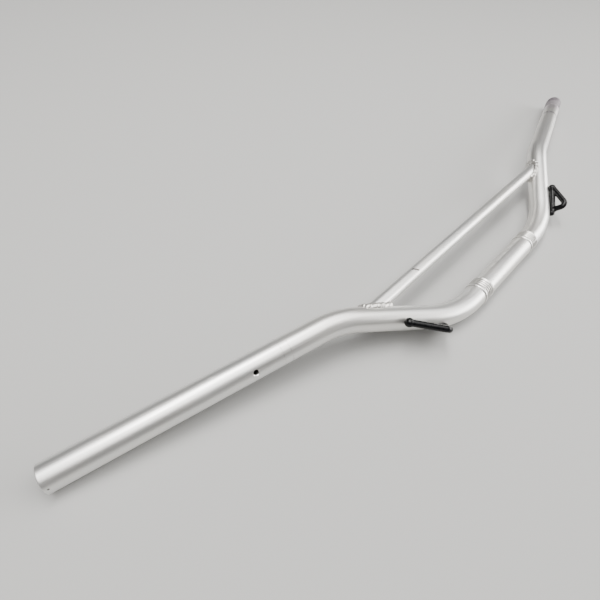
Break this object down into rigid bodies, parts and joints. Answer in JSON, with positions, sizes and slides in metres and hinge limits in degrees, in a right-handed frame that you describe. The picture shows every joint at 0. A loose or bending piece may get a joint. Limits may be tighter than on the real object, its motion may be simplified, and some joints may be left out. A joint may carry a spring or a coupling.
{
  "type": "motorcycle handlebar",
  "caption": "Bent off-road handlebar with a welded cross brace, ribbed clamp collars and black wire-guide loops on its risers.",
  "frame": {"origin": "middle of the clamp section, on the tube's axis", "axes": "+X to the rider's left, +Y towards the top of the mounted bar, +Z towards its front; the bar lies on its back, turned 19.0 degrees about X so that its collars and both tips rest on one plane at Z -12.1 mm"},
  "size_m": [0.8754, 0.1426, 0.0443],
  "materials": {
    "satin_silver": "satin silver, worn at the left tip",
    "weld_silver": "silver over a weld bead",
    "collar_silver": "satin silver over ribs",
    "guide_steel": "bare drawn wire",
    "guide_black": "glossy black sleeve"
  },
  "bodies": {
    "root": {"main_tube": "satin_silver", "crossbar": "satin_silver", "weld_left": "weld_silver", "weld_right": "weld_silver", "collar_left": "collar_silver", "collar_right": "collar_silver", "guide_wire_left": "guide_steel", "guide_wire_right": "guide_steel", "guide_sleeve_left": "guide_black", "guide_sleeve_right": "guide_black", "guide_boot_left": "guide_black", "guide_boot_right": "guide_black", "guide_tack_left": "guide_black", "guide_tack_right": "guide_black"}
  },
  "joints": []
}
